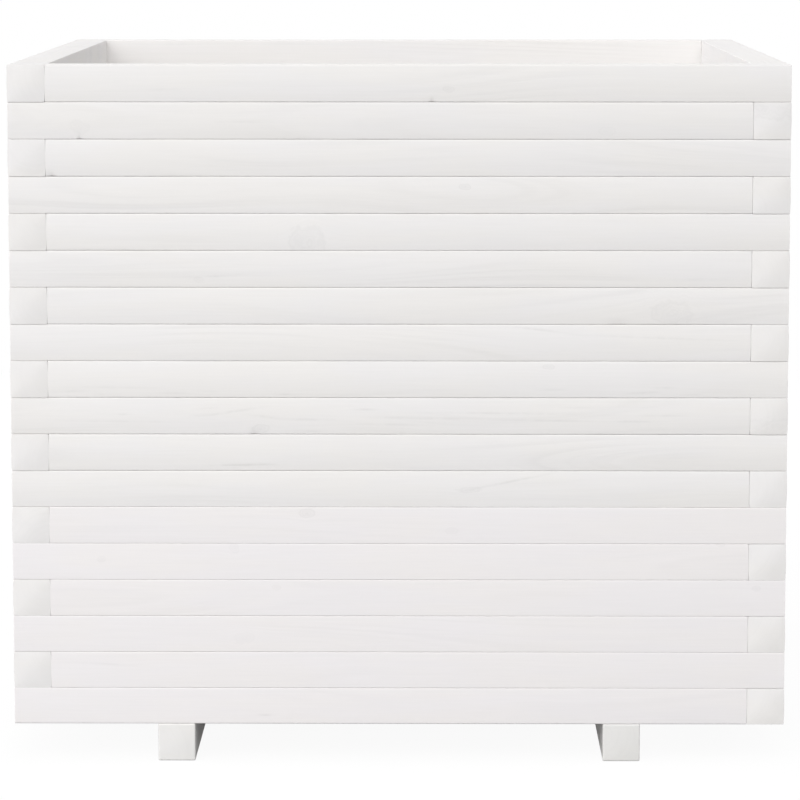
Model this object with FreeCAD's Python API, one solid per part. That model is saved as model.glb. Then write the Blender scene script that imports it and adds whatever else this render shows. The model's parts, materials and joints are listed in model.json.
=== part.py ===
# Square floor planter: stacked pine slats that lap at the corners, a slatted floor and two foot runners
import FreeCAD, Part
import os
from collections import namedtuple
from math import cos, pi

# Frame: millimetres, +Z up, origin on the ground under the middle, front wall facing -Y

# Overall box, measured over the outside of the walls
PLANTER_WIDTH = 900.0
PLANTER_DEPTH = 900.0
COURSE_COUNT = 18

# Wall slats: every course is a pinwheel of four, each lapping one corner and butting at the other
SLAT_HEIGHT = 42.7
WALL_THICKNESS = 43.8
SLAT_EDGE_RADIUS = 1.6
LAP_GAP = 0.8

# Foot runners, front to back under the bottom course
FOOT_WIDTH = 43.4
FOOT_HEIGHT = 44.0
FOOT_SPACING = 520.0
FOOT_EDGE_RADIUS = 1.6

# Floor boards, side to side across the runners, with gaps that drain
FLOOR_BOARD_COUNT = 8
FLOOR_BOARD_THICKNESS = 18.0
FLOOR_EDGE_RADIUS = 1.5
FLOOR_END_CLEARANCE = 3.0
DRAIN_GAP = 8.0

# Dowels between courses, the outer ones close to the butt ends, with solid wood left between joints
DOWELS_PER_JOINT = 3
DOWEL_DIAMETER = 10.0
DOWEL_CHAMFER = 1.0
DOWEL_CLEARANCE = 0.1
DOWEL_END_GAP = 1.0
DOWEL_TO_BUTT_END = 22.0
WOOD_BETWEEN_DOWELS = 10.6

# Corner tie rods: threaded into the top course, drawn tight by a nut under the bottom course
ROD_DIAMETER = 8.0
ROD_CHAMFER = 1.0
ROD_CLEARANCE = 0.5
ROD_PROJECTION = 3.0
ROD_COVER = 2.5
ROD_TIP_GAP = 1.0
THREAD_CLEARANCE = 0.05
INSERT_WALL = 2.5
INSERT_CLEARANCE = 0.1
WOOD_ABOVE_INSERT = 17.6
NUT_WALL = 2.5
NUT_HEIGHT = 6.5
WASHER_RIM = 5.5
WASHER_THICKNESS = 2.0
WASHER_CLEARANCE = 0.5

# Countersunk wood screws: how far the head flares past the shank, sinks in and bites into the next piece
FLOOR_SCREW_DIAMETER = 4.0
FLOOR_SCREW_FLARE = 2.0
FLOOR_SCREW_SINK = 0.4
FLOOR_SCREW_BITE = 20.0
FOOT_SCREW_DIAMETER = 6.0
FOOT_SCREW_FLARE = 3.0
FOOT_SCREW_SINK = 10.0
FOOT_SCREW_BITE = 22.0
SCREW_CLEARANCE = 0.1

# Spread of a pair of screws, as a share of the width of the board or the runner that it holds
FLOOR_SCREW_SPREAD_SHARE = 0.56
FOOT_SCREW_SPREAD_SHARE = 0.5

# Shape of a screw, as shares of its head's or its shank's diameter
HEAD_RIM_SHARE = 0.06
TIP_LENGTH_SHARE = 1.4
RECESS_WIDTH_SHARE = 0.16
RECESS_LENGTH_SHARE = 0.62
RECESS_DEPTH_SHARE = 0.24

# Reach of a cutting tool past the face that it opens
CUT_OVERRUN = 5.0

# Sizes that follow from the ones above
RIM_HEIGHT = FOOT_HEIGHT + COURSE_COUNT * SLAT_HEIGHT
INNER_WIDTH = PLANTER_WIDTH - 2 * WALL_THICKNESS
INNER_DEPTH = PLANTER_DEPTH - 2 * WALL_THICKNESS
WALL_MIDDLE = WALL_THICKNESS / 2
FLOOR_TOP = FOOT_HEIGHT + FLOOR_BOARD_THICKNESS
FLOOR_BOARD_WIDTH = (INNER_DEPTH - (FLOOR_BOARD_COUNT + 1) * DRAIN_GAP) / FLOOR_BOARD_COUNT
DOWEL_LENGTH = SLAT_HEIGHT - WOOD_BETWEEN_DOWELS - 2 * DOWEL_END_GAP
INSERT_DIAMETER = ROD_DIAMETER + 2 * INSERT_WALL
INSERT_LENGTH = SLAT_HEIGHT - WOOD_ABOVE_INSERT - ROD_TIP_GAP
NUT_ACROSS_FLATS = ROD_DIAMETER + 2 * NUT_WALL
WASHER_DIAMETER = NUT_ACROSS_FLATS + 2 * WASHER_RIM
COUNTERBORE_DEPTH = ROD_COVER + ROD_PROJECTION + NUT_HEIGHT + WASHER_THICKNESS
FLOOR_SCREW_LENGTH = FLOOR_BOARD_THICKNESS - FLOOR_SCREW_SINK + FLOOR_SCREW_BITE
FOOT_SCREW_LENGTH = FOOT_HEIGHT - FOOT_SCREW_SINK + FOOT_SCREW_BITE

ORIGIN = FreeCAD.Vector(0, 0, 0)
X_AXIS = FreeCAD.Vector(1, 0, 0)
Z_AXIS = FreeCAD.Vector(0, 0, 1)
FULL_TURN = 360
HALF_TURN = 180
QUARTER_TURN = 90
HEXAGON_SIDES = 6

# A wall in its own frame looks like the front wall: it runs along X, its outer face at y = -reach
Wall = namedtuple("Wall", "name run reach turn")
FRONT = Wall("front", PLANTER_WIDTH, PLANTER_DEPTH / 2, 0)
RIGHT = Wall("right", PLANTER_DEPTH, PLANTER_WIDTH / 2, QUARTER_TURN)
BACK = Wall("back", PLANTER_WIDTH, PLANTER_DEPTH / 2, HALF_TURN)
LEFT = Wall("left", PLANTER_DEPTH, PLANTER_WIDTH / 2, HALF_TURN + QUARTER_TURN)
WALLS = (FRONT, RIGHT, BACK, LEFT)

Screw = namedtuple("Screw", "diameter length flare sink")
FLOOR_SCREW = Screw(FLOOR_SCREW_DIAMETER, FLOOR_SCREW_LENGTH, FLOOR_SCREW_FLARE, FLOOR_SCREW_SINK)
FOOT_SCREW = Screw(FOOT_SCREW_DIAMETER, FOOT_SCREW_LENGTH, FOOT_SCREW_FLARE, FOOT_SCREW_SINK)


# Shared shapes and moves


def at(x, y, z):
    return FreeCAD.Vector(x, y, z)


def moved(shape, x, y, z):
    """A copy of the shape, shifted."""
    copy = shape.copy()
    copy.translate(at(x, y, z))
    return copy


def placed(shape, placement):
    """A copy of the shape, turned and shifted."""
    return shape.transformed(placement.toMatrix(), copy=True)


def eased_plank(length, width, height, radius):
    """A plank from the origin into +X, +Y and +Z with every edge rounded a little."""
    box = Part.makeBox(length, width, height)
    return box.makeFillet(radius, box.Edges)


def cylinder_between(radius, bottom, top):
    return Part.makeCylinder(radius, top - bottom, at(0, 0, bottom))


def ring_between(outer_radius, hole_radius, bottom, top):
    hole = cylinder_between(hole_radius, bottom - CUT_OVERRUN, top + CUT_OVERRUN)
    return cylinder_between(outer_radius, bottom, top).cut(hole)


def revolved(profile):
    """A solid turned about Z from (radius, height) points that start and end on the axis."""
    points = [at(radius, 0, height) for radius, height in profile]
    face = Part.Face(Part.makePolygon(points + points[:1]))
    return face.revolve(ORIGIN, Z_AXIS, FULL_TURN)


def bar_between(radius, bottom, top, chamfer):
    """A round bar on Z with both ends chamfered."""
    return revolved([
        (0, bottom),
        (radius - chamfer, bottom),
        (radius, bottom + chamfer),
        (radius, top - chamfer),
        (radius - chamfer, top),
        (0, top),
    ])


# Wall slats and the dowels between them


def dowel_offsets(run):
    """Places of a joint's dowels along a wall, from the wall's middle."""
    outermost = run / 2 - WALL_THICKNESS - LAP_GAP - DOWEL_TO_BUTT_END
    step = 2 * outermost / (DOWELS_PER_JOINT - 1)
    return [step * i - outermost for i in range(DOWELS_PER_JOINT)]


def dowel_hole_cuts(run, is_bottom, is_top):
    """Blind holes for the dowels to the courses below and above."""
    reach = DOWEL_LENGTH / 2 + DOWEL_END_GAP
    hole = cylinder_between(DOWEL_DIAMETER / 2 + DOWEL_CLEARANCE, -reach, reach)
    levels = []
    if not is_bottom:
        levels.append(0)
    if not is_top:
        levels.append(SLAT_HEIGHT)
    return [moved(hole, run / 2 + x, WALL_MIDDLE, level) for x in dowel_offsets(run) for level in levels]


def rod_hole_cuts(is_bottom, is_top):
    """The tie rod's way through the lapped end: blind in the top course, counterbored in the bottom."""
    if is_top:
        pocket_radius = INSERT_DIAMETER / 2 + INSERT_CLEARANCE
        cuts = [cylinder_between(pocket_radius, -CUT_OVERRUN, INSERT_LENGTH + ROD_TIP_GAP)]
    else:
        hole_radius = ROD_DIAMETER / 2 + ROD_CLEARANCE
        cuts = [cylinder_between(hole_radius, -CUT_OVERRUN, SLAT_HEIGHT + CUT_OVERRUN)]
    if is_bottom:
        seat_radius = WASHER_DIAMETER / 2 + WASHER_CLEARANCE
        cuts.append(cylinder_between(seat_radius, -CUT_OVERRUN, COUNTERBORE_DEPTH))
    return [moved(cut, WALL_MIDDLE, WALL_MIDDLE, 0) for cut in cuts]


def make_slat(run, is_bottom, is_top):
    """One slat along X, its lapped end at the origin and its butt end short of the far corner."""
    length = run - WALL_THICKNESS - LAP_GAP
    slat = eased_plank(length, WALL_THICKNESS, SLAT_HEIGHT, SLAT_EDGE_RADIUS)
    return slat.cut(dowel_hole_cuts(run, is_bottom, is_top) + rod_hole_cuts(is_bottom, is_top))


def in_wall(shape, wall, x, y, z, turn=0):
    """A copy of the shape, turned about Z and set at a point of the wall's own frame."""
    own = FreeCAD.Placement(at(x, y, z), FreeCAD.Rotation(Z_AXIS, turn))
    around = FreeCAD.Placement(ORIGIN, FreeCAD.Rotation(Z_AXIS, wall.turn))
    return placed(shape, around.multiply(own))


def stack_slat(slat, wall, course):
    """Even courses lap the corner at the wall's right, seen from outside, and odd ones at its left."""
    base = FOOT_HEIGHT + (course - 1) * SLAT_HEIGHT
    if course % 2 == 0:
        return in_wall(slat, wall, wall.run / 2, WALL_THICKNESS - wall.reach, base, HALF_TURN)
    return in_wall(slat, wall, -wall.run / 2, -wall.reach, base)


def make_courses(foot_screw_holes):
    """Node name to slats, where the two slats that face each other share a node."""
    nodes = {}
    for course in range(1, COURSE_COUNT + 1):
        is_bottom = course == 1
        is_top = course == COURSE_COUNT
        for label, pair in (("front_back", (FRONT, BACK)), ("side", (LEFT, RIGHT))):
            slat = make_slat(pair[0].run, is_bottom, is_top)
            slats = [stack_slat(slat, wall, course) for wall in pair]
            if is_bottom and FRONT in pair:
                slats = [each.cut(foot_screw_holes) for each in slats]
            nodes[f"course_{course:02d}_{label}_slats"] = slats
    return nodes


def make_wall_dowels(wall):
    dowel = bar_between(DOWEL_DIAMETER / 2, -DOWEL_LENGTH / 2, DOWEL_LENGTH / 2, DOWEL_CHAMFER)
    joint_levels = [FOOT_HEIGHT + course * SLAT_HEIGHT for course in range(1, COURSE_COUNT)]
    return [
        in_wall(dowel, wall, x, WALL_MIDDLE - wall.reach, level)
        for level in joint_levels
        for x in dowel_offsets(wall.run)
    ]


# Corner tie rods with their inserts, washers and nuts


def corner_axes():
    """Corner name to the tie rod's place."""
    x = PLANTER_WIDTH / 2 - WALL_MIDDLE
    y = PLANTER_DEPTH / 2 - WALL_MIDDLE
    return {
        "front_left": (-x, -y),
        "front_right": (x, -y),
        "back_right": (x, y),
        "back_left": (-x, y),
    }


def make_tie_rod():
    bottom = FOOT_HEIGHT + ROD_COVER
    top = RIM_HEIGHT - SLAT_HEIGHT + INSERT_LENGTH
    return bar_between(ROD_DIAMETER / 2, bottom, top, ROD_CHAMFER)


def make_insert():
    """The threaded sleeve, flush with the underside of the top course."""
    bottom = RIM_HEIGHT - SLAT_HEIGHT
    bore_radius = ROD_DIAMETER / 2 + THREAD_CLEARANCE
    return ring_between(INSERT_DIAMETER / 2, bore_radius, bottom, bottom + INSERT_LENGTH)


def make_washer():
    """Against the end of the counterbore."""
    top = FOOT_HEIGHT + COUNTERBORE_DEPTH
    hole_radius = ROD_DIAMETER / 2 + ROD_CLEARANCE
    return ring_between(WASHER_DIAMETER / 2, hole_radius, top - WASHER_THICKNESS, top)


def make_nut():
    """A hexagon nut against the washer, with the rod's end standing out below it."""
    bottom = FOOT_HEIGHT + ROD_COVER + ROD_PROJECTION
    top = bottom + NUT_HEIGHT
    corner = at(NUT_ACROSS_FLATS / 2 / cos(pi / HEXAGON_SIDES), 0, bottom)
    turns = [FreeCAD.Rotation(Z_AXIS, FULL_TURN / HEXAGON_SIDES * side) for side in range(HEXAGON_SIDES)]
    corners = [turn.multVec(corner) for turn in turns]
    prism = Part.Face(Part.makePolygon(corners + corners[:1])).extrude(Z_AXIS * NUT_HEIGHT)
    bore_radius = ROD_DIAMETER / 2 + THREAD_CLEARANCE
    return prism.cut(cylinder_between(bore_radius, bottom - CUT_OVERRUN, top + CUT_OVERRUN))


def make_corner_ties():
    """Node name to solids: a node for each rod, and one for each kind of small fitting."""
    corners = corner_axes()
    rod = make_tie_rod()
    nodes = {f"tie_rod_{name}": [moved(rod, x, y, 0)] for name, (x, y) in corners.items()}
    fittings = {
        "tie_rod_inserts": make_insert(),
        "tie_rod_washers": make_washer(),
        "tie_rod_nuts": make_nut(),
    }
    for name, fitting in fittings.items():
        nodes[name] = [moved(fitting, x, y, 0) for x, y in corners.values()]
    return nodes


# Screws and their holes


def screw_blank(screw, grow, rise):
    """A countersunk screw that points down from its head's face at the origin, or is grown and raised."""
    shank_radius = screw.diameter / 2 + grow
    head_radius = shank_radius + screw.flare
    rim = (screw.diameter + 2 * screw.flare) * HEAD_RIM_SHARE
    return revolved([
        (0, -screw.length - grow),
        (shank_radius, screw.diameter * TIP_LENGTH_SHARE - screw.length),
        (shank_radius, -rim - screw.flare),
        (head_radius, -rim),
        (head_radius, rise),
        (0, rise),
    ])


def make_screw(screw):
    """The screw with a cross recess in its head."""
    head_diameter = screw.diameter + 2 * screw.flare
    width = head_diameter * RECESS_WIDTH_SHARE
    length = head_diameter * RECESS_LENGTH_SHARE
    depth = head_diameter * RECESS_DEPTH_SHARE
    slots = [
        Part.makeBox(x, y, 2 * depth, at(-x / 2, -y / 2, -depth))
        for x, y in ((length, width), (width, length))
    ]
    return screw_blank(screw, 0, 0).cut(slots)


def make_screw_hole(screw):
    """The screw's own shape with a clearance, open past the face that its head sinks under."""
    return screw_blank(screw, SCREW_CLEARANCE, screw.sink + CUT_OVERRUN)


def foot_screw_placements():
    """Upwards through the runners where they cross the front and back walls."""
    head_up_to_head_down = FreeCAD.Rotation(X_AXIS, HALF_TURN)
    half_spread = FOOT_WIDTH * FOOT_SCREW_SPREAD_SHARE / 2
    wall_y = PLANTER_DEPTH / 2 - WALL_MIDDLE
    return [
        FreeCAD.Placement(at(foot_x + x, y, FOOT_SCREW_SINK), head_up_to_head_down)
        for foot_x in (-FOOT_SPACING / 2, FOOT_SPACING / 2)
        for y in (-wall_y, wall_y)
        for x in (-half_spread, half_spread)
    ]


def floor_screw_placements():
    """Down through the floor boards where they cross the runners."""
    half_spread = FLOOR_BOARD_WIDTH * FLOOR_SCREW_SPREAD_SHARE / 2
    return [
        FreeCAD.Placement(at(foot_x, board_y + y, FLOOR_TOP - FLOOR_SCREW_SINK), FreeCAD.Rotation())
        for board_y in floor_board_middles()
        for foot_x in (-FOOT_SPACING / 2, FOOT_SPACING / 2)
        for y in (-half_spread, half_spread)
    ]


# Floor boards and foot runners


def floor_board_middles():
    """Places of the boards from front to back, with a drain gap between boards and beside the walls."""
    pitch = FLOOR_BOARD_WIDTH + DRAIN_GAP
    first = (pitch - INNER_DEPTH + DRAIN_GAP) / 2
    return [first + pitch * i for i in range(FLOOR_BOARD_COUNT)]


def make_floor_boards(screw_holes):
    length = INNER_WIDTH - 2 * FLOOR_END_CLEARANCE
    board = eased_plank(length, FLOOR_BOARD_WIDTH, FLOOR_BOARD_THICKNESS, FLOOR_EDGE_RADIUS)
    nodes = {}
    for number, middle in enumerate(floor_board_middles(), start=1):
        laid = moved(board, -length / 2, middle - FLOOR_BOARD_WIDTH / 2, FOOT_HEIGHT)
        nodes[f"floor_board_{number}"] = [laid.cut(screw_holes)]
    return nodes


def make_feet(screw_holes):
    runner = eased_plank(FOOT_WIDTH, PLANTER_DEPTH, FOOT_HEIGHT, FOOT_EDGE_RADIUS)
    nodes = {}
    for name, x in (("left_foot", -FOOT_SPACING / 2), ("right_foot", FOOT_SPACING / 2)):
        nodes[name] = [moved(runner, x - FOOT_WIDTH / 2, -PLANTER_DEPTH / 2, 0).cut(screw_holes)]
    return nodes


# The whole planter


def make_nodes():
    """Node name to its pieces."""
    foot_places = foot_screw_placements()
    floor_places = floor_screw_placements()
    foot_screw_holes = [placed(make_screw_hole(FOOT_SCREW), place) for place in foot_places]
    floor_screw_holes = [placed(make_screw_hole(FLOOR_SCREW), place) for place in floor_places]
    nodes = make_courses(foot_screw_holes)
    nodes.update(make_feet(foot_screw_holes + floor_screw_holes))
    nodes.update(make_floor_boards(floor_screw_holes))
    nodes.update(make_corner_ties())
    for wall in WALLS:
        nodes[f"{wall.name}_wall_dowels"] = make_wall_dowels(wall)
    nodes["foot_screws"] = [placed(make_screw(FOOT_SCREW), place) for place in foot_places]
    nodes["floor_board_screws"] = [placed(make_screw(FLOOR_SCREW), place) for place in floor_places]
    return nodes


def main():
    os.makedirs("parts", exist_ok=True)
    for name, pieces in make_nodes().items():
        solids = [solid for piece in pieces for solid in piece.Solids]
        Part.makeCompound(solids).exportStep(os.path.join("parts", name + ".step"))


main()
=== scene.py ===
# Wooden planter: the looks of every piece, in metres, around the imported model
import json
import math
from collections import namedtuple

import bmesh
import bpy
import numpy as np
from mathutils import Matrix, Vector


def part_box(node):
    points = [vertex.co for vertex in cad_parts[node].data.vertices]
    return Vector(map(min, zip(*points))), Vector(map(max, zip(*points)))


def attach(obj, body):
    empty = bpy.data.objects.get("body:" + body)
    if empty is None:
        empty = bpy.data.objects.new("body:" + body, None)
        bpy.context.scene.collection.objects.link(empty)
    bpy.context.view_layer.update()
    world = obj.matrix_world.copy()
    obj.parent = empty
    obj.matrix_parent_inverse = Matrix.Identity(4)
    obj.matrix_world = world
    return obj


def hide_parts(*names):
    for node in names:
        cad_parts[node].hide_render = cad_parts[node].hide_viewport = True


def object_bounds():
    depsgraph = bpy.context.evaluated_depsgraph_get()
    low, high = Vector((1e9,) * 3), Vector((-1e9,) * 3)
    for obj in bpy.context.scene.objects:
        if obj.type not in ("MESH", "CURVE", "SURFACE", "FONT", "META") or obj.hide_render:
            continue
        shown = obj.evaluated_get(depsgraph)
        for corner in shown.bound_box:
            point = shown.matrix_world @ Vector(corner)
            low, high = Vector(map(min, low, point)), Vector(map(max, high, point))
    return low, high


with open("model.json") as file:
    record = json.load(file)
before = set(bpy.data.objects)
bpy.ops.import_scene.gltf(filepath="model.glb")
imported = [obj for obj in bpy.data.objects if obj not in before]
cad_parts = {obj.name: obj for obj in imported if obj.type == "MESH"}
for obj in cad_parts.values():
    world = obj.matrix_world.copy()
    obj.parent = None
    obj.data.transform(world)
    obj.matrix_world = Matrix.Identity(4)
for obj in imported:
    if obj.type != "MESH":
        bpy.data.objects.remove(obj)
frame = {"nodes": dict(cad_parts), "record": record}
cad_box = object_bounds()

# Sizes of the frame: a tie rod stands in the middle of the thickness of the walls
HALF_WIDTH = cad_box[1].x
RIM_HEIGHT = cad_box[1].z
COURSE_COUNT = sum(name.endswith("_side_slats") for name in frame["nodes"])
SLAT_LOW, SLAT_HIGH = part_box("course_01_side_slats")
SLAT_HEIGHT = SLAT_HIGH.z - SLAT_LOW.z
ROD_LOW, ROD_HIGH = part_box("tie_rod_front_right")
WALL_THICKNESS = 2 * HALF_WIDTH - ROD_LOW.x - ROD_HIGH.x
SLAT_SIZE = (WALL_THICKNESS, SLAT_HEIGHT)
QUARTER_TURN = math.pi / 2

# Walls in their order round the planter, and the pair of slats in a course that each belongs to
WALLS = ("front", "right", "back", "left")
WALL_PAIRS = {"front": "front_back", "back": "front_back", "right": "side", "left": "side"}
BOTTOM_COURSE = 1

# Quarter turns from the way that the front wall lies to the way of the floor boards and of the runners
BOARD_TURN = 0
RUNNER_TURN = 1

# Material slots of the record
BARE_BEECH = "bare_beech"
ZINC_STEEL = "zinc_plated_steel"

# Long shape of a slat: crown of its outer face, radii of its lower and upper edges, and play in its joints
Shape = namedtuple("Shape", "crown low_radius high_radius play")
CROWNED = Shape(crown=0.0012, low_radius=0.0012, high_radius=0.0012, play=0.00012)
FLATTER = Shape(crown=0.0003, low_radius=0.0009, high_radius=0.0009, play=0.00006)
SIDE = Shape(crown=0.0005, low_radius=0.0012, high_radius=0.0012, play=0.00012)
INNER_CROWN = 0.0003

# Courses of the front that are flatter, counted from the bottom, and the edges at the rim and the underside
LOWER_COURSES = 6
RIM_RADIUS = 0.0007
BOTTOM_RADIUS = 0.0014

# Lengths of the waves that make the joints uneven
WANDER_WAVES = (0.09, 0.17, 0.41)

# Timber: its name, quarter turns from the front wall, axis as (inward, up), two ends and random numbers
Timber = namedtuple("Timber", "name turn axis ends rng")
SLAT_SEED_STEP = 100
BOARD_SEED = 900
RUNNER_SEEDS = {"left_foot": 801, "right_foot": 802}

# Sawn end of a timber: its place along the timber, the radius of its edges and the height of its dome
End = namedtuple("End", "place radius dome", defaults=(0.0, 0.0))
END_DOME = 0.0005

# Ends of a slat: radius of the edges of the one that laps a corner and of the butted one, which leaves a gap
Lap = namedtuple("Lap", "radius butt_radius gap")
CLOSE_LAP = Lap(radius=0.0003, butt_radius=0.0001, gap=0.00001)
SEEN_LAP = Lap(radius=0.0005, butt_radius=0.0003, gap=0.00006)

# Pocket for a tie rod's nut and washer in the underside of a bottom slat
POCKET_CLEARANCE = 0.0005
POCKET_SIDES = 48

# Steps of the mesh of a timber: round its section from the lower inner edge, over its ends, and along it
SECTION_CORNERS = ((1, -1), (1, 1), (-1, 1), (-1, -1))
ARC_STEPS = 4
FACE_STEPS = 9
INNER_STEPS = 3
EDGE_STEPS = 1
END_STEPS = 3
CAP_SHARES = (0.72, 0.42, 0.16)
STATION_SPACING = 0.028

# Places in the photograph, in pixels of its 800 by 800 frame
PHOTO_MIDDLE_X = 399.25
PHOTO_RIM_Y = 62.8
PHOTO_PIXELS_PER_METRE = 860.3

# Chips out of the lower edge of front slats: place and half length in pixels, depth in metres
Chip = namedtuple("Chip", "x y half_length depth")
FRONT_CHIPS = (
    Chip(x=432, y=97, half_length=5, depth=0.0018),
    Chip(x=84, y=134, half_length=4, depth=0.0017),
    Chip(x=56, y=170, half_length=6, depth=0.0020),
    Chip(x=618, y=317, half_length=13, depth=0.0011),
    Chip(x=255, y=428, half_length=7, depth=0.0015),
)

# How far a chip reaches round the edge, its rings as shares of its half length, and its share each way
CHIP_REACH = 0.0030
CHIP_SHARES = (-1.0, -0.5, 0.0, 0.5, 1.0)
CHIP_SLANT = math.sqrt(0.5)

# Knots and grain lines that show on front slats, in pixels: slope is pixels down for each to the right
Mark = namedtuple("Mark", "x y half_length half_height depth slope", defaults=(0.0,))
FRONT_KNOTS = (
    Mark(x=447, y=87, half_length=5, half_height=2.5, depth=0.060),
    Mark(x=83, y=124, half_length=8, half_height=6, depth=0.032),
    Mark(x=604, y=128, half_length=7, half_height=4, depth=0.032),
    Mark(x=464, y=183, half_length=5, half_height=2.5, depth=0.100),
    Mark(x=308, y=239, half_length=16, half_height=14, depth=0.060),
    Mark(x=201, y=275, half_length=4, half_height=2.5, depth=0.048),
    Mark(x=670, y=309, half_length=16, half_height=10, depth=0.056),
    Mark(x=548, y=362, half_length=5, half_height=2.5, depth=0.090),
    Mark(x=262, y=425, half_length=9, half_height=4, depth=0.080),
    Mark(x=470, y=486, half_length=10, half_height=3, depth=0.080),
    Mark(x=307, y=510, half_length=7, half_height=4, depth=0.084),
    Mark(x=452, y=527, half_length=6, half_height=3, depth=0.040),
    Mark(x=235, y=545, half_length=4, half_height=4, depth=0.052),
    Mark(x=102, y=556, half_length=4, half_height=3, depth=0.048),
    Mark(x=721, y=541, half_length=4, half_height=2, depth=0.060),
    Mark(x=277, y=585, half_length=4, half_height=2.5, depth=0.056),
    Mark(x=757, y=585, half_length=4, half_height=2.5, depth=0.056),
    Mark(x=245, y=636, half_length=10, half_height=5, depth=0.028),
)
FRONT_LINES = (
    Mark(x=166, y=87, half_length=14, half_height=1.2, depth=0.045),
    Mark(x=245, y=119, half_length=24, half_height=1.2, depth=0.038),
    Mark(x=215, y=272, half_length=26, half_height=1.3, depth=0.058, slope=-0.05),
    Mark(x=695, y=275, half_length=28, half_height=1.2, depth=0.038),
    Mark(x=538, y=325, half_length=27, half_height=1.1, depth=0.065, slope=0.12),
    Mark(x=655, y=333, half_length=78, half_height=1.1, depth=0.045, slope=0.035),
    Mark(x=115, y=383, half_length=40, half_height=1.2, depth=0.045, slope=0.01),
    Mark(x=74, y=387, half_length=10, half_height=1.1, depth=0.050, slope=-0.05),
    Mark(x=108, y=390, half_length=12, half_height=1.1, depth=0.045),
    Mark(x=176, y=389, half_length=18, half_height=1.1, depth=0.055),
    Mark(x=208, y=387, half_length=8, half_height=1.1, depth=0.045),
    Mark(x=286, y=390, half_length=18, half_height=1.1, depth=0.055),
    Mark(x=553, y=385, half_length=15, half_height=1.1, depth=0.045),
    Mark(x=643, y=388, half_length=18, half_height=1.1, depth=0.065, slope=-0.05),
    Mark(x=664, y=383, half_length=9, half_height=1.1, depth=0.045),
    Mark(x=693, y=390, half_length=9, half_height=1.1, depth=0.050),
    Mark(x=208, y=404, half_length=10, half_height=1.1, depth=0.045, slope=-0.05),
    Mark(x=235, y=407, half_length=24, half_height=1.2, depth=0.066, slope=-0.15),
    Mark(x=204, y=411, half_length=10, half_height=1.2, depth=0.060, slope=-0.05),
    Mark(x=126, y=410, half_length=8, half_height=1.2, depth=0.045),
    Mark(x=120, y=417, half_length=60, half_height=1.1, depth=0.040, slope=0.01),
    Mark(x=264, y=412, half_length=14, half_height=1.4, depth=0.060, slope=0.12),
    Mark(x=307, y=415, half_length=26, half_height=1.2, depth=0.060, slope=0.02),
    Mark(x=309, y=427, half_length=16, half_height=1.2, depth=0.065),
    Mark(x=366, y=405, half_length=10, half_height=1.2, depth=0.065),
    Mark(x=393, y=413, half_length=20, half_height=1.2, depth=0.060),
    Mark(x=390, y=420, half_length=30, half_height=1.2, depth=0.060, slope=0.02),
    Mark(x=440, y=414, half_length=30, half_height=1.2, depth=0.065),
    Mark(x=505, y=409, half_length=70, half_height=1.1, depth=0.055, slope=0.01),
    Mark(x=545, y=416, half_length=40, half_height=1.2, depth=0.070, slope=0.01),
    Mark(x=632, y=417, half_length=17, half_height=1.1, depth=0.070),
    Mark(x=662, y=411, half_length=22, half_height=1.1, depth=0.050),
    Mark(x=583, y=403, half_length=18, half_height=1.1, depth=0.035),
    Mark(x=247, y=461, half_length=30, half_height=1.1, depth=0.110, slope=-0.02),
    Mark(x=508, y=478, half_length=38, half_height=1.1, depth=0.083, slope=-0.2),
    Mark(x=106, y=663, half_length=22, half_height=1.1, depth=0.045, slope=0.05),
    Mark(x=264, y=715, half_length=7, half_height=1.1, depth=0.090),
)

# Knots on the other timbers: most to a timber, and ranges of their sizes, places, slopes and depths
MOST_KNOTS = 3
KNOT_HALF_LENGTHS = (0.006, 0.020)
KNOT_HEIGHT_SHARES = (0.45, 0.75)
KNOT_OFF_AXIS_SHARES = (-0.4, 0.4)
KNOT_SLOPES = (-0.1, 0.1)
KNOT_DEPTHS = (0.025, 0.060)

# Look of a knot: distances from its middle are 1 at its outline, and it lifts the grain that flows round it
KNOT_OUTLINE_SCALE = 110.0
KNOT_OUTLINE_SWING = 0.75
KNOT_CORE_FADE = (1.1, 0.3)
KNOT_RING_RATE = 14.0
KNOT_RING_SWING = 0.2
KNOT_RING_SHADE = 0.5
KNOT_RIM_WIDTH = 0.32
KNOT_RIM_SHADE = 0.55
KNOT_LIFT = 0.85
KNOT_LIFT_FALL = -0.3

# Look of a grain line: how it is broken, how much of it shows in the breaks, and its fade from the middle
LINE_BREAK_SCALE = 90.0
LINE_BREAK_RANGE = (0.3, 0.62)
LINE_LEAST_SHOWING = 0.35
LINE_FALL = -1.0

# A mark goes through its timber, so its half size inward only has to differ from zero
MARK_HALF_DEPTH = 1.0

# Paint: linear colours, rates along and up, range from warm to cool, tone from timber to timber, and finish
PAINT_WARM = (0.856, 0.839, 0.8245)
COOL_SHIFT = (-0.005, -0.002, 0.009)
COOL_RATES = (6.0, 25.0)
COOL_RANGE = (0.35, 0.65)
TONE_SPREAD = 0.006
PAINT_ROUGHNESS = 0.65
FIBRE_ROUGHNESS = 0.06
END_ROUGHNESS = 0.12
PAINT_SPECULAR = 0.12
PAINT_RELIEF = 0.0004
PAINT_RELIEF_STRENGTH = 0.25
GRAIN_RELIEF = -0.5
FIBRE_RELIEF = 0.25
SHADE_RELIEF = -8.0

# Grain under the paint: depths are shares of the colour, and rates are noise cells to the metre
NOISE_SEEDS = (0.0, 100.0)
RING_DEPTH = 0.044
RING_RATES = (1.6, 330.0)
RING_DETAIL = 3.0
RING_RANGE = (0.42, 0.72)
PATCH_RATES = (3.0, 16.0)
PATCH_RANGE = (0.42, 0.68)
PATCH_LEAST_SHOWING = 0.12
FIBRE_DEPTH = 0.020
FIBRE_RATES = (14.0, 480.0, 480.0)
BLOTCH_DEPTH = 0.010
BLOTCH_RATES = (5.0, 18.0, 18.0)

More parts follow.
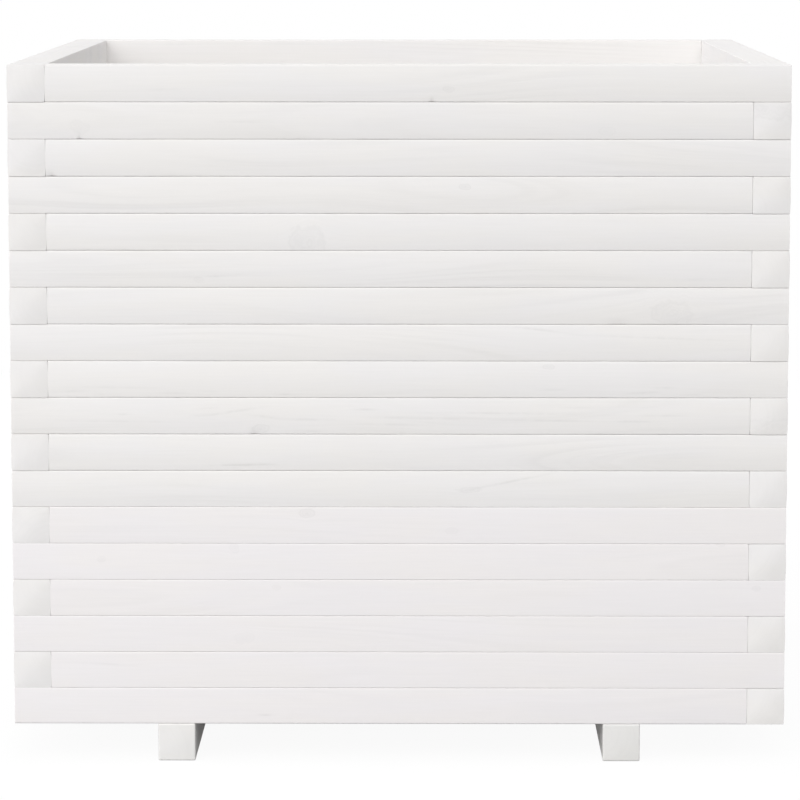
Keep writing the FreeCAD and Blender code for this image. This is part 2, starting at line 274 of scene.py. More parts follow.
# Pith that the growth rings go round: its place off the axis of the timber, and how it wanders
PITH_BEHIND_AXIS = (-0.004, 0.048)
PITH_OFF_AXIS = 0.028
PITH_WANDER = 0.030
PITH_WANDER_RATE = 1.4
PITH_SWAY_RATE = 1.1
PITH_DETAIL = 1.0

# Sawn ends: rings, blotches, reach of the painted shade across them, and the turn from which a face counts as
# one
END_RING_DEPTH = 0.010
END_BLOTCH_DEPTH = 0.022
END_BLOTCH_SCALE = 42.0
END_FADE_REACH = (-0.024, 0.038)
END_FACING = (0.75, 0.97)

# Bare beech: fibres along the dowels, dark flecks, and finish
BEECH_COLOUR = (0.62, 0.45, 0.29)
BEECH_FIBRE_RATES = (900.0, 900.0, 30.0)
BEECH_FIBRE_DETAIL = 3.0
BEECH_FIBRE_DEPTH = 0.16
FLECK_RATES = (1500.0, 1500.0, 220.0)
FLECK_RANGE = (0.58, 0.72)
FLECK_DEPTH = 0.18
BEECH_ROUGHNESS = 0.6
BEECH_ROUGHNESS_SWING = 0.1
BEECH_RELIEF = 0.0002
BEECH_RELIEF_STRENGTH = 0.3

# Zinc plating: crystals, wear, and finish
STEEL_COLOUR = (0.62, 0.63, 0.65)
CRYSTAL_SCALE = 420.0
CRYSTAL_DEPTH = 0.05
WEAR_SCALE = 900.0
WEAR_DETAIL = 4.0
WEAR_DEPTH = 0.08
STEEL_ROUGHNESS = 0.36
STEEL_ROUGHNESS_SWING = 0.12
STEEL_RELIEF = 0.0001
STEEL_RELIEF_STRENGTH = 0.2

# Painted shade across the sawn ends of a wall, lighter towards one upper corner and darker towards the
# opposite lower one, and darker overall on the left wall: the side it goes to, and the shades from and to
Fade = namedtuple("Fade", "side low high", defaults=(-0.042, 0.043))
END_PAINTED_SHADES = {
    "front": Fade(side=1.0),
    "right": Fade(side=-1.0),
    "back": Fade(side=1.0),
    "left": Fade(side=1.0, low=-0.016, high=0.069),
}

# Paint of a timber: its tint, and how much of the grain shows
Paint = namedtuple("Paint", "tint grain", defaults=(1.0,))
WHITE_PAINT = Paint(tint=(1.0, 1.0, 1.0))
# Lower front courses: paler paint with less grain showing; the paler tint is partly painted light that makes
# up for the dimmer light near the floor
LOWER_PAINT_AND_LIGHT = Paint(tint=(1.018, 1.008, 1.022), grain=0.55)
# Runners: painted shade, the same white paint darkened, the right runner more than the left
RUNNER_SHADED_PAINTS = {
    "left_foot": Paint(tint=(0.969, 0.975, 0.972)),
    "right_foot": Paint(tint=(0.934, 0.940, 0.926)),
}

# Camera fitted to the photograph
CAMERA_PLACE = (0.0343, -4.85, 0.9837)
CAMERA_PITCH = math.radians(-7.223)
CAMERA_YAW = math.radians(-0.431)
CAMERA_LENS = 172.5
CAMERA_REACH = 300.0

# Lamps far away and near, all turned to the middle of the planter, and the light of the sky
Far = namedtuple("Far", "name towards width strength")
FAR_LAMPS = (
    Far(name="key", towards=(-0.20, -0.80, 0.56), width=math.radians(60), strength=1.79),
    Far(name="left", towards=(-0.94, 0.10, 0.33), width=math.radians(40), strength=1.12),
)
Near = namedtuple("Near", "name place size power")
NEAR_LAMPS = (
    Near(name="window", place=(-2.6, -2.4, 0.7), size=1.5, power=17.0),
    Near(name="fill", place=(6.0, -1.0, 3.5), size=5.0, power=65.0),
    Near(name="right_panel", place=(4.5, 0.0, 0.42), size=0.8, power=24.0),
    Near(name="back_panel", place=(0.0, 4.5, 0.42), size=0.8, power=65.0),
)
AIM = Vector((0.0, 0.0, 0.4))
SKY_LIGHT = 0.525
WHITE = (1.0, 1.0, 1.0, 1.0)

# Floor: the grey that lights the planter, how much of its shadow shows, and the part of it in full shadow
FLOOR_HALF_SIZE = 100.0
FLOOR_GREY = (0.24, 0.24, 0.24, 1.0)
SHADOW_SHARE = 0.06
SHADOW_FADE = (1.2, 3.5)
UNDER_EDGE = (0.42, 0.45)
UNDER_FRONT = (-0.24, -0.18)


# Helpers for nodes and objects

def add(tree, kind, inputs=(), **settings):
    """Adds a node and sets or links its inputs."""
    made = tree.nodes.new(kind)
    for key, value in settings.items():
        setattr(made, key, value)
    for key, value in dict(inputs).items():
        if isinstance(value, bpy.types.NodeSocket):
            tree.links.new(value, made.inputs[key])
        else:
            made.inputs[key].default_value = value
    return made


def calc(tree, operation, *values):
    return add(tree, "ShaderNodeMath", enumerate(values), operation=operation).outputs[0]


def vector_calc(tree, operation, *values, output="Vector"):
    return add(tree, "ShaderNodeVectorMath", enumerate(values), operation=operation).outputs[output]


def scaled(tree, vector, factor):
    return add(tree, "ShaderNodeVectorMath", {0: vector, "Scale": factor}, operation="SCALE").outputs[0]


def total(tree, *values):
    result = values[0]
    for value in values[1:]:
        result = calc(tree, "ADD", result, value)
    return result


def product(tree, *values):
    result = values[0]
    for value in values[1:]:
        result = calc(tree, "MULTIPLY", result, value)
    return result


def parts_of(tree, vector):
    return add(tree, "ShaderNodeSeparateXYZ", {0: vector}).outputs


def joined(tree, *values):
    return add(tree, "ShaderNodeCombineXYZ", enumerate(values)).outputs[0]


def noise(tree, vector, scale=1.0, detail=2.0):
    return add(tree, "ShaderNodeTexNoise", {"Vector": vector, "Scale": scale, "Detail": detail}).outputs[0]


def ramp(tree, value, low, high, to_low=0.0, to_high=1.0):
    """Eases from to_low to to_high as value goes from low to high."""
    limits = (value, low, high, to_low, to_high)
    return add(tree, "ShaderNodeMapRange", enumerate(limits), interpolation_type="SMOOTHSTEP").outputs[0]


def swing(tree, value, depth):
    """A value of 0 to 1 as plus or minus depth."""
    return calc(tree, "MULTIPLY_ADD", value, 2 * depth, -depth)


def new_material(name):
    material = bpy.data.materials.new(name)
    material.use_nodes = True
    return material, material.node_tree, material.node_tree.nodes["Principled BSDF"].inputs


def set_relief(tree, shader, height, strength, distance):
    bump = add(tree, "ShaderNodeBump", {"Height": height, "Strength": strength, "Distance": distance})
    tree.links.new(bump.outputs[0], shader["Normal"])


def new_object(name, data):
    made = bpy.data.objects.new(name, data)
    bpy.context.scene.collection.objects.link(made)
    return made


# Knot and grain line, as node groups that the painted timbers share

def mark_group(name, outputs):
    """A group that measures how far a place on a timber is from the middle of a mark."""
    group = bpy.data.node_groups.new(name, "ShaderNodeTree")
    for label in ("Place", "Middle", "Half Size"):
        group.interface.new_socket(label, in_out="INPUT", socket_type="NodeSocketVector")
    for label in ("Slope", "Depth"):
        group.interface.new_socket(label, in_out="INPUT", socket_type="NodeSocketFloat")
    for label in outputs:
        group.interface.new_socket(label, in_out="OUTPUT", socket_type="NodeSocketFloat")
    given = group.nodes.new("NodeGroupInput").outputs
    along, _, up = parts_of(group, vector_calc(group, "SUBTRACT", given["Place"], given["Middle"]))
    level = calc(group, "MULTIPLY_ADD", along, given["Slope"], up)
    reach = vector_calc(group, "DIVIDE", joined(group, along, 0.0, level), given["Half Size"])
    distance = vector_calc(group, "LENGTH", reach, output="Value")
    return group, given, level, distance, group.nodes.new("NodeGroupOutput").inputs


def knot_group():
    """Shade of a ringed knot, and how far it lifts the grain that flows round it."""
    group, given, level, distance, result = mark_group("pine_knot", ("Shade", "Lift"))
    uneven = noise(group, given["Place"], scale=KNOT_OUTLINE_SCALE)
    distance = total(group, distance, swing(group, uneven, KNOT_OUTLINE_SWING))
    core = ramp(group, distance, *KNOT_CORE_FADE)
    off_outline = calc(group, "ABSOLUTE", calc(group, "SUBTRACT", distance, 1.0))
    rim = ramp(group, off_outline, KNOT_RIM_WIDTH, 0.0)
    wave = calc(group, "SINE", product(group, distance, KNOT_RING_RATE))
    rings = calc(group, "MULTIPLY_ADD", wave, KNOT_RING_SWING, KNOT_RING_SHADE)
    shade = total(group, product(group, core, rings), product(group, rim, KNOT_RIM_SHADE))
    nearness = calc(group, "EXPONENT", product(group, distance, distance, KNOT_LIFT_FALL))
    group.links.new(product(group, shade, given["Depth"]), result["Shade"])
    group.links.new(product(group, level, nearness, KNOT_LIFT), result["Lift"])
    return group


def line_group():
    """Shade of one grain line that fades out at its ends."""
    group, given, _, distance, result = mark_group("grain_line", ("Shade",))
    broken = noise(group, given["Place"], scale=LINE_BREAK_SCALE)
    showing = ramp(group, broken, *LINE_BREAK_RANGE, LINE_LEAST_SHOWING, 1.0)
    fade = calc(group, "EXPONENT", product(group, distance, distance, LINE_FALL))
    group.links.new(product(group, fade, showing, given["Depth"]), result["Shade"])
    return group


KNOT = knot_group()
LINE = line_group()


# Marks in metres along, inward and up a timber

PlacedMark = namedtuple("PlacedMark", "middle half_size slope depth")


def placed_mark(mark):
    """A mark of the photograph, placed on the front wall."""
    half_length = mark.half_length / PHOTO_PIXELS_PER_METRE
    half_height = mark.half_height / PHOTO_PIXELS_PER_METRE
    middle = ((mark.x - PHOTO_MIDDLE_X) / PHOTO_PIXELS_PER_METRE, 0.0, photo_height(mark))
    return PlacedMark(middle, (half_length, MARK_HALF_DEPTH, half_height), mark.slope, mark.depth)


def photo_height(mark):
    return RIM_HEIGHT - (mark.y - PHOTO_RIM_Y) / PHOTO_PIXELS_PER_METRE


def random_knots(timber):
    """A few knots anywhere along a timber and near the height of its axis."""
    rng = timber.rng
    start, end = (end.place for end in timber.ends)
    _, height = timber.axis
    knots = []
    for _ in range(rng.integers(0, MOST_KNOTS + 1)):
        half_length = rng.uniform(*KNOT_HALF_LENGTHS)
        half_size = (half_length, MARK_HALF_DEPTH, half_length * rng.uniform(*KNOT_HEIGHT_SHARES))
        middle = (rng.uniform(start, end), 0.0, height + rng.uniform(*KNOT_OFF_AXIS_SHARES) * SLAT_HEIGHT)
        knots.append(PlacedMark(middle, half_size, rng.uniform(*KNOT_SLOPES), rng.uniform(*KNOT_DEPTHS)))
    return knots


# Materials

def add_mark(tree, group, place, mark):
    inputs = {"Place": place, "Middle": mark.middle, "Half Size": mark.half_size}
    inputs.update({"Slope": mark.slope, "Depth": mark.depth})
    return add(tree, "ShaderNodeGroup", inputs, node_tree=group).outputs


def growth_rings(tree, along, inward, up, axis, rng):
    """Fine lines along the growth rings round a pith that wanders about the timber, from 0 to 1."""
    seed = rng.uniform(*NOISE_SEEDS)
    drift = noise(tree, joined(tree, product(tree, along, PITH_WANDER_RATE), seed, 0.0), detail=PITH_DETAIL)
    sway = noise(tree, joined(tree, product(tree, along, PITH_SWAY_RATE), 0.0, seed), detail=PITH_DETAIL)
    pith_inward = total(tree, swing(tree, drift, PITH_WANDER), axis[0] + rng.uniform(*PITH_BEHIND_AXIS))
    pith_up = total(tree, swing(tree, sway, PITH_OFF_AXIS), axis[1] + rng.uniform(-1, 1) * PITH_OFF_AXIS)
    place = joined(tree, 0.0, inward, up)
    pith = joined(tree, 0.0, pith_inward, pith_up)
    radius = vector_calc(tree, "DISTANCE", place, pith, output="Value")
    along_rate, radius_rate = RING_RATES
    ring_place = joined(tree, product(tree, along, along_rate), product(tree, radius, radius_rate), seed)
    return ramp(tree, noise(tree, ring_place, detail=RING_DETAIL), *RING_RANGE)


def patchiness(tree, along, up, seed):
    """How much of the grain shows through the paint, in patches."""
    along_rate, up_rate = PATCH_RATES
    patch = noise(tree, joined(tree, product(tree, along, along_rate), product(tree, up, up_rate), seed))
    return ramp(tree, patch, *PATCH_RANGE, PATCH_LEAST_SHOWING, 1.0)


def sawn_end(tree, place, facing, axis, rings, turn):
    """How far a sawn end shows, from 0 to 1, and its shade: a painted shade that fades across it from a
    lighter corner to a darker one, with blotches and rings.
    """
    _, inward, up = parts_of(tree, vector_calc(tree, "SUBTRACT", place, (0.0, *axis)))
    fade = END_PAINTED_SHADES[WALLS[turn]]
    across = calc(tree, "SUBTRACT", product(tree, inward, fade.side), up)
    # Painted shade: the end is lighter towards one upper corner and darker towards the opposite lower one
    painted_shade = ramp(tree, across, *END_FADE_REACH, fade.low, fade.high)
    mottle = swing(tree, noise(tree, place, scale=END_BLOTCH_SCALE), END_BLOTCH_DEPTH)
    shows = ramp(tree, calc(tree, "ABSOLUTE", parts_of(tree, facing)[0]), *END_FACING)
    return shows, total(tree, painted_shade, mottle, product(tree, rings, END_RING_DEPTH))


def paint_colour(tree, along, up, seed, tint):
    """The white of the paint, which goes from warm to a little cooler in patches."""
    along_rate, up_rate = COOL_RATES
    cool = noise(tree, joined(tree, product(tree, along, along_rate), seed, product(tree, up, up_rate)))
    warm = tuple(np.multiply(PAINT_WARM, tint))
    return vector_calc(tree, "MULTIPLY_ADD", ramp(tree, cool, *COOL_RANGE), COOL_SHIFT, warm)


def turned_back(tree, vector, turn):
    """A place or direction in the frame of a timber: along it, inward and up."""
    inputs = {"Vector": vector, "Rotation": (0.0, 0.0, -turn * QUARTER_TURN)}
    return add(tree, "ShaderNodeMapping", inputs).outputs[0]


def painted_pine(timber, knots, lines=(), paint=WHITE_PAINT):
    """White paint on a pine timber: grain, knots and sawn ends show through it faintly."""
    material, tree, shader = new_material(f"painted_{timber.name}")
    rng = timber.rng
    source = add(tree, "ShaderNodeTexCoord").outputs
    place = turned_back(tree, source["Object"], timber.turn)
    facing = turned_back(tree, source["Normal"], timber.turn)
    along, inward, up = parts_of(tree, place)
    knot_marks = [add_mark(tree, KNOT, place, knot) for knot in knots]
    line_marks = [add_mark(tree, LINE, place, line) for line in lines]
    mark_shade = total(tree, 0.0, *(mark["Shade"] for mark in knot_marks + line_marks))
    level = calc(tree, "SUBTRACT", up, total(tree, 0.0, *(mark["Lift"] for mark in knot_marks)))

    rings = growth_rings(tree, along, inward, level, timber.axis, rng)
    seed = rng.uniform(*NOISE_SEEDS)
    grain = product(tree, rings, patchiness(tree, along, level, seed), paint.grain)
    fibre_place = [product(tree, part, rate) for part, rate in zip((along, inward, level), FIBRE_RATES)]
    fibre = noise(tree, joined(tree, *fibre_place))
    blotch = noise(tree, vector_calc(tree, "MULTIPLY", place, BLOTCH_RATES))
    # The shade of the sawn ends includes a painted shade that fades across them
    sawn, end_shade = sawn_end(tree, place, facing, timber.axis, rings, timber.turn)

    face_shade = total(tree, product(tree, grain, RING_DEPTH), swing(tree, fibre, FIBRE_DEPTH))
    face_shade = product(tree, face_shade, calc(tree, "SUBTRACT", 1.0, sawn))
    blotch_shade = swing(tree, blotch, paint.grain * BLOTCH_DEPTH)
    shade = total(tree, mark_shade, blotch_shade, face_shade, product(tree, sawn, end_shade))
    tone = calc(tree, "SUBTRACT", 1.0 + rng.uniform(-TONE_SPREAD, TONE_SPREAD), shade)
    colour = paint_colour(tree, along, up, seed, paint.tint)
    tree.links.new(scaled(tree, colour, tone), shader["Base Color"])

    fibre_roughness = swing(tree, fibre, FIBRE_ROUGHNESS)
    roughness = total(tree, PAINT_ROUGHNESS, fibre_roughness, product(tree, sawn, END_ROUGHNESS))
    tree.links.new(roughness, shader["Roughness"])
    shader["Specular IOR Level"].default_value = PAINT_SPECULAR
    reliefs = ((grain, GRAIN_RELIEF), (fibre, FIBRE_RELIEF), (shade, SHADE_RELIEF))
    relief = total(tree, *(product(tree, layer, height) for layer, height in reliefs))
    set_relief(tree, shader, relief, PAINT_RELIEF_STRENGTH, PAINT_RELIEF)
    return material


def bare_beech():
    """Pale brown turned wood with fine fibres along the dowel and short dark flecks."""
    material, tree, shader = new_material(BARE_BEECH)
    place = add(tree, "ShaderNodeTexCoord").outputs["Object"]
    fibre_place = vector_calc(tree, "MULTIPLY", place, BEECH_FIBRE_RATES)
    fibre = noise(tree, fibre_place, detail=BEECH_FIBRE_DETAIL)
    fleck = ramp(tree, noise(tree, vector_calc(tree, "MULTIPLY", place, FLECK_RATES)), *FLECK_RANGE)
    wood = total(tree, 1.0, swing(tree, fibre, BEECH_FIBRE_DEPTH))
    tone = calc(tree, "SUBTRACT", wood, product(tree, fleck, FLECK_DEPTH))
    tree.links.new(scaled(tree, BEECH_COLOUR, tone), shader["Base Color"])
    roughness = total(tree, BEECH_ROUGHNESS, swing(tree, fibre, BEECH_ROUGHNESS_SWING))
    tree.links.new(roughness, shader["Roughness"])
    set_relief(tree, shader, fibre, BEECH_RELIEF_STRENGTH, BEECH_RELIEF)
    return material


def zinc_steel():
    """Satin zinc plating: a bluish grey metal with a faint crystal pattern and fine wear."""
    material, tree, shader = new_material(ZINC_STEEL)
    place = add(tree, "ShaderNodeTexCoord").outputs["Object"]
    cells = add(tree, "ShaderNodeTexVoronoi", {"Vector": place, "Scale": CRYSTAL_SCALE}).outputs["Color"]
    crystal = parts_of(tree, cells)[0]
    wear = noise(tree, place, scale=WEAR_SCALE, detail=WEAR_DETAIL)
    tone = total(tree, 1.0, swing(tree, crystal, CRYSTAL_DEPTH), swing(tree, wear, WEAR_DEPTH))
    tree.links.new(scaled(tree, STEEL_COLOUR, tone), shader["Base Color"])
    roughness = total(tree, STEEL_ROUGHNESS, swing(tree, wear, STEEL_ROUGHNESS_SWING))
    tree.links.new(roughness, shader["Roughness"])
    shader["Metallic"].default_value = 1.0
    set_relief(tree, shader, wear, STEEL_RELIEF_STRENGTH, STEEL_RELIEF)
    return material


# Meshes of the timbers

def section(width, height, shape):
    """Points round a section with eased edges, about its middle, as (inward, up) pairs."""
    arcs = []
    for quarter, (inward, up) in enumerate(SECTION_CORNERS):
        radius = shape.high_radius if up > 0 else shape.low_radius
        middle = np.array([inward * (width / 2 - radius), up * (height / 2 - radius)])
        angles = QUARTER_TURN * (quarter - 1 + np.linspace(0, 1, ARC_STEPS + 1))
        arcs.append(middle + radius * np.stack([np.cos(angles), np.sin(angles)], axis=1))
    loop = []
    for quarter, steps in enumerate((INNER_STEPS, EDGE_STEPS, FACE_STEPS, EDGE_STEPS)):
        start, end = arcs[quarter][-1], arcs[(quarter + 1) % len(arcs)][0]
        shares = np.linspace(0, 1, steps + 2)[1:-1, None]
        loop += [arcs[quarter], start + shares * (end - start)]
    return np.concatenate(loop)


def crowned(loop, width, height, crown):
    """Bows the outer face out in its middle, and the inner face a little, inside the plain section."""
    inward, up = loop.T
    fall = (2 * up / height) ** 2
    outer = crown * fall * (0.5 - inward / width)
    inner = INNER_CROWN * fall * (0.5 + inward / width)
    return np.stack([inward + outer - inner, up], axis=1)


def wander(places, rng):
    """A slow uneven wave along a timber, from 0 to 1."""
    waves = [np.sin(2 * math.pi * (places / wave + rng.random())) for wave in WANDER_WAVES]
    return 0.5 + sum(waves) / (2 * len(waves))


def end_rings(end, size):
    """How far back from a sawn end its rings lie, and the shares of the section's size that they keep."""
    angles = np.linspace(0, QUARTER_TURN, END_STEPS + 1)
    back = end.dome + end.radius * (1 - np.sin(angles))
    keep = 1 - 2 * end.radius * (1 - np.cos(angles))[:, None] / np.array(size)
    back = np.concatenate([back, end.dome * np.square(CAP_SHARES)])
    return back, np.concatenate([keep, np.outer(CAP_SHARES, keep[-1])])


def stations(start, end, size, chips):
    """Places of the rings along a timber, each with the shares of the section it keeps."""
    start_back, start_keep = end_rings(start, size)
    end_back, end_keep = end_rings(end, size)
    first, last = start.place + start_back[0], end.place - end_back[0]
    inside = list(np.linspace(first, last, round((last - first) / STATION_SPACING) + 1)[1:-1])
    inside += [chip.x + share * chip.half_length for chip in chips for share in CHIP_SHARES]
    places = np.concatenate([start.place + start_back[::-1], np.sort(inside), end.place - end_back])
    return places, np.concatenate([start_keep[::-1], np.ones((len(inside), 2)), end_keep])


def chip_depth(place, chips):
    """How deep the lower outer edge is chipped at a place along a timber."""
    depth = 0.0
    for chip in chips:
        off = abs(place - chip.x) / chip.half_length
        depth += chip.depth * (0.5 + 0.5 * math.cos(math.pi * min(off, 1.0)))
    return depth


def timber_rings(timber, size, shape, chips):
    """Rings of (along, inward, up) points about the axis of a timber, from one end to the other."""
    width, height = size
    loop = crowned(section(width, height, shape), width, height, shape.crown)
    from_edge = np.linalg.norm(loop - np.array([-width / 2, -height / 2]), axis=1)
    chipped = np.exp(-((from_edge / CHIP_REACH) ** 2))[:, None] * CHIP_SLANT
    lowness = 0.5 - loop[:, 1] / height
    places, keeps = stations(*timber.ends, size, chips)
    low_play = shape.play * wander(places, timber.rng)
    high_play = shape.play * wander(places, timber.rng)
    rings = []
    for place, keep, low, high in zip(places, keeps, low_play, high_play):
        ring = loop + chip_depth(place, chips) * chipped
        ring[:, 1] += lowness * low - (1 - lowness) * high
        rings.append(np.column_stack([np.full(len(ring), place), ring * keep]))
    return rings


def turned(points, turn):
    """Turns (along, inward, up) points about the middle of the planter by quarter turns."""
    cos, sin = round(math.cos(turn * QUARTER_TURN)), round(math.sin(turn * QUARTER_TURN))
    along, inward, up = points.T
    return np.stack([cos * along - sin * inward, sin * along + cos * inward, up], axis=1)


def timber_mesh(timber, rings):
    """A closed smooth mesh through the rings of a timber, with a pole in the middle of each end."""
    count = len(rings[0])
    poles = np.array([[end.place, 0.0, 0.0] for end in timber.ends])
    points = np.concatenate([poles, *rings]) + np.array([0.0, *timber.axis])
    ring_ids = np.arange(len(rings) * count).reshape(len(rings), count) + len(poles)
    after = np.roll(ring_ids, -1, axis=1)
    start_pole, end_pole = range(len(poles))
    faces = [(start_pole, b, a) for a, b in zip(ring_ids[0], after[0])]
    faces += [(end_pole, a, b) for a, b in zip(ring_ids[-1], after[-1])]
    sides = np.stack([ring_ids[:-1], after[:-1], after[1:], ring_ids[1:]], axis=2).reshape(-1, 4)
    faces += sides.tolist()
    mesh = bpy.data.meshes.new(timber.name)
    mesh.from_pydata(turned(points, timber.turn).tolist(), [], [tuple(map(int, face)) for face in faces])
    mesh.shade_smooth()
    return mesh


# Walls

def pocket_plug(turn):
    """A cylinder for the pocket of a tie rod's nut, with its middle in the underside of the bottom course."""
    _, washers_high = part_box("tie_rod_washers")
    middle = HALF_WIDTH - WALL_THICKNESS / 2
    radius = washers_high.x - middle + POCKET_CLEARANCE
    corner = turned(np.array([[-middle, -middle, SLAT_LOW.z]]), turn)[0]
    size = {"radius1": radius, "radius2": radius, "depth": 2 * (washers_high.z - SLAT_LOW.z)}
    place = Matrix.Translation(corner)
    plug = bmesh.new()
    bmesh.ops.create_cone(plug, cap_ends=True, segments=POCKET_SIDES, matrix=place, **size)
    mesh = bpy.data.meshes.new("pocket")
    plug.to_mesh(mesh)
    plug.free()
    return new_object("pocket", mesh)


def cut_pocket(piece, turn):
    """Cuts the pocket for a tie rod's nut into a bottom slat, at the corner that the slat laps."""
    plug = pocket_plug(turn)
    cut = piece.modifiers.new("pocket", "BOOLEAN")
    cut.object = plug
    graph = bpy.context.evaluated_depsgraph_get()
    piece.data = bpy.data.meshes.new_from_object(piece.evaluated_get(graph))
    piece.modifiers.remove(cut)
    bpy.data.objects.remove(plug)


def on_course(marks, course):
    """The photograph's marks that lie on the front slat of a course."""
    low = SLAT_LOW.z + (course - 1) * SLAT_HEIGHT
    return [mark for mark in marks if low <= photo_height(mark) < low + SLAT_HEIGHT]


def placed_chip(chip):
    scale = 1 / PHOTO_PIXELS_PER_METRE
    return Chip((chip.x - PHOTO_MIDDLE_X) * scale, photo_height(chip), chip.half_length * scale, chip.depth)


def mirrored(end):
    return end._replace(place=-end.place)


def slat_ends(course):
    """Ends of a slat: even courses lap the corner at the wall's right, odd ones at its left."""
    laps_right = course % 2 == 0
    lap = CLOSE_LAP if course <= LOWER_COURSES or laps_right else SEEN_LAP
    shown = End(HALF_WIDTH, lap.radius, END_DOME)
    butted = End(HALF_WIDTH - WALL_THICKNESS - lap.gap, lap.butt_radius)
    return (mirrored(butted), shown) if laps_right else (mirrored(shown), butted)


def is_lower_front(wall, course):
    return wall == "front" and course <= LOWER_COURSES


def slat_shape(wall, course):
    """Long shape of a slat, with edges of their own at the rim and at the underside."""
    shape = SIDE if WALL_PAIRS[wall] == "side" else CROWNED
    if is_lower_front(wall, course):
        shape = FLATTER
    if course == COURSE_COUNT:
        shape = shape._replace(high_radius=RIM_RADIUS)
    if course == BOTTOM_COURSE:
        shape = shape._replace(low_radius=BOTTOM_RADIUS)
    return shape


def slat_paint(slat, wall, course):
    """Paint of a slat: every slat draws random knots, and the photograph's take their place on the front."""
    knots = random_knots(slat)
    if wall != "front":
        return painted_pine(slat, knots)
    knots = [placed_mark(mark) for mark in on_course(FRONT_KNOTS, course)]
    lines = [placed_mark(mark) for mark in on_course(FRONT_LINES, course)]
    # The lower front courses take a paler tint that is partly painted light
    return painted_pine(slat, knots, lines, LOWER_PAINT_AND_LIGHT if is_lower_front(wall, course) else WHITE_PAINT)


def make_slat(turn, course):
    """One slat of a wall, in the place of its solid in the node of its course."""
    wall = WALLS[turn]
    rng = np.random.default_rng(SLAT_SEED_STEP * (turn + 1) + course)
    axis = (WALL_THICKNESS / 2 - HALF_WIDTH, SLAT_LOW.z + (course - 0.5) * SLAT_HEIGHT)
    slat = Timber(f"{wall}_slat_{course:02d}", turn, axis, slat_ends(course), rng)
    material = slat_paint(slat, wall, course)
    chips = [placed_chip(chip) for chip in on_course(FRONT_CHIPS, course)] if wall == "front" else []
    mesh = timber_mesh(slat, timber_rings(slat, SLAT_SIZE, slat_shape(wall, course), chips))
    mesh.materials.append(material)
    piece = new_object(slat.name, mesh)
    node = f"course_{course:02d}_{WALL_PAIRS[wall]}_slats"
    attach(piece, "root")
    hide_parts(node)
    if course == BOTTOM_COURSE:
        cut_pocket(piece, turn)
    piece.modifiers.new("crisp_faces", "WEIGHTED_NORMAL")


def make_walls():
    for turn in range(len(WALLS)):
        for course in range(COURSE_COUNT, 0, -1):
            make_slat(turn, course)


# Finishes of the nodes that stay

def runner_paint(node):
    low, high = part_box(node)
    middle = (low + high) / 2
    rng = np.random.default_rng(RUNNER_SEEDS[node])
    runner = Timber(node, RUNNER_TURN, (-middle.x, middle.z), (End(low.y), End(high.y)), rng)
    # The runner's darker tint is painted shade
    return painted_pine(runner, random_knots(runner), paint=RUNNER_SHADED_PAINTS[node])


def board_paint(node):
    low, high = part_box(node)
    rng = np.random.default_rng(BOARD_SEED + int(node[-1]))
    board = Timber(node, BOARD_TURN, (low.y, high.z), (End(low.x), End(high.x)), rng)
    return painted_pine(board, random_knots(board))


def dress_nodes():
    """Gives the nodes that stay a finish of their own."""
    finishes = {BARE_BEECH: bare_beech(), ZINC_STEEL: zinc_steel()}
    for subpart in frame["record"]["subparts"]:
        node, slot = subpart["node"], subpart["material_slot"]
        if slot in finishes:
            material = finishes[slot]
        elif node in RUNNER_SHADED_PAINTS:
            material = runner_paint(node)
        elif node.startswith("floor_board"):
            material = board_paint(node)
        else:
            continue
        for place in frame["nodes"][node].material_slots:
            place.material = material


# Studio

def seen_directly(tree):
    """1 for rays from the camera, or by a mirror or glass, and 0 for rays that carry light."""
    path = add(tree, "ShaderNodeLightPath").outputs
    seen = calc(tree, "MAXIMUM", path["Is Camera Ray"], path["Is Glossy Ray"])
    return calc(tree, "MAXIMUM", seen, path["Is Transmission Ray"])


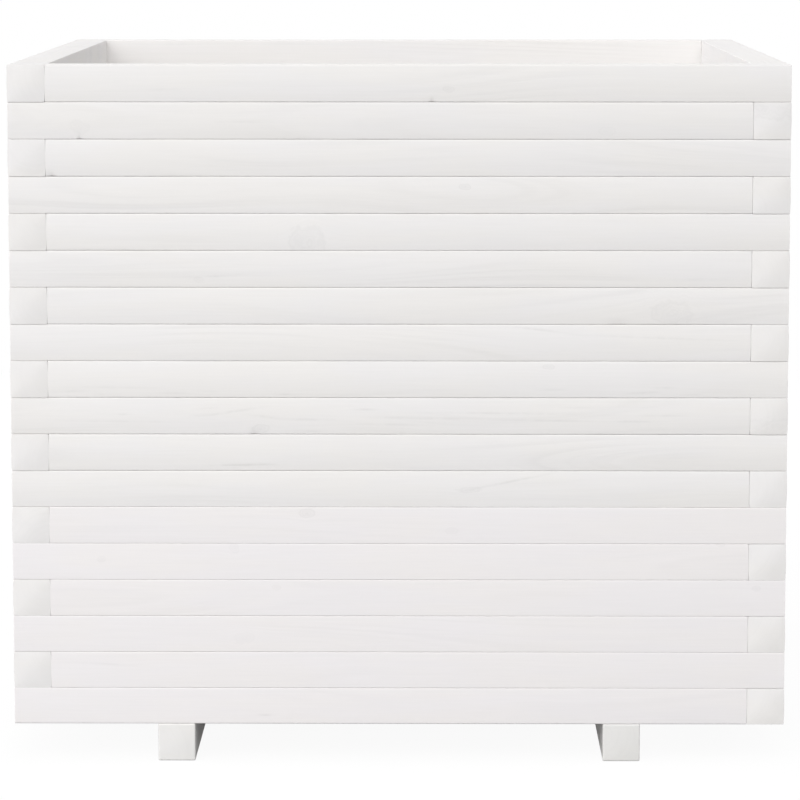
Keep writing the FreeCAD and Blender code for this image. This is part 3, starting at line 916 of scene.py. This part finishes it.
def floor_material():
    """White to the eye with a faint shadow, and grey to the light that it gives back to the planter."""
    material, tree, _ = new_material("floor")
    tree.nodes.clear()
    place = add(tree, "ShaderNodeTexCoord").outputs["Object"]
    distance = vector_calc(tree, "LENGTH", place, output="Value")
    x, y, _ = parts_of(tree, place)
    off_middle = calc(tree, "MAXIMUM", calc(tree, "ABSOLUTE", x), y)
    under = product(tree, ramp(tree, off_middle, *UNDER_EDGE, 1.0, 0.0), ramp(tree, y, *UNDER_FRONT))
    share = calc(tree, "MAXIMUM", under, ramp(tree, distance, *SHADOW_FADE, SHADOW_SHARE, 0.0))
    glow = add(tree, "ShaderNodeEmission", {"Color": WHITE, "Strength": 1.0}).outputs[0]
    matt = add(tree, "ShaderNodeBsdfDiffuse", {"Color": WHITE}).outputs[0]
    shown = add(tree, "ShaderNodeMixShader", {0: share, 1: glow, 2: matt}).outputs[0]
    grey = add(tree, "ShaderNodeBsdfDiffuse", {"Color": FLOOR_GREY}).outputs[0]
    surface = add(tree, "ShaderNodeMixShader", {0: seen_directly(tree), 1: grey, 2: shown}).outputs[0]
    add(tree, "ShaderNodeOutputMaterial", {"Surface": surface})
    return material


def make_floor():
    half = FLOOR_HALF_SIZE
    corners = [(-half, -half, 0), (half, -half, 0), (half, half, 0), (-half, half, 0)]
    mesh = bpy.data.meshes.new("floor")
    mesh.from_pydata(corners, [], [range(len(corners))])
    mesh.materials.append(floor_material())
    floor = new_object("floor", mesh)


def make_sky():
    world = bpy.data.worlds.new("studio")
    world.use_nodes = True
    tree = world.node_tree
    tree.nodes.clear()
    light = add(tree, "ShaderNodeBackground", {"Color": WHITE, "Strength": SKY_LIGHT}).outputs[0]
    shown = add(tree, "ShaderNodeBackground", {"Color": WHITE, "Strength": 1.0}).outputs[0]
    surface = add(tree, "ShaderNodeMixShader", {0: seen_directly(tree), 1: light, 2: shown}).outputs[0]
    add(tree, "ShaderNodeOutputWorld", {"Surface": surface})
    bpy.context.scene.world = world


def hang_lamp(name, data, place):
    """Puts a lamp at a place, turned to the middle of the planter."""
    lamp = new_object(name, data)
    lamp.location = place
    lamp.rotation_euler = (AIM - Vector(place)).to_track_quat("-Z", "Y").to_euler()


def make_lamps():
    for lamp in FAR_LAMPS:
        data = bpy.data.lights.new(lamp.name, "SUN")
        data.angle = lamp.width
        data.energy = lamp.strength
        hang_lamp(lamp.name, data, AIM + Vector(lamp.towards))
    for lamp in NEAR_LAMPS:
        data = bpy.data.lights.new(lamp.name, "AREA")
        data.size = lamp.size
        data.energy = lamp.power
        hang_lamp(lamp.name, data, lamp.place)


def make_camera():
    data = bpy.data.cameras.new("camera")
    data.lens = CAMERA_LENS
    data.clip_end = CAMERA_REACH
    camera = new_object("camera", data)
    camera.location = CAMERA_PLACE
    camera.rotation_euler = (QUARTER_TURN + CAMERA_PITCH, 0.0, -CAMERA_YAW)
    bpy.context.scene.camera = camera


bpy.context.scene.view_settings.view_transform = "Standard"
make_camera()
make_walls()
dress_nodes()
make_floor()
make_sky()
make_lamps()
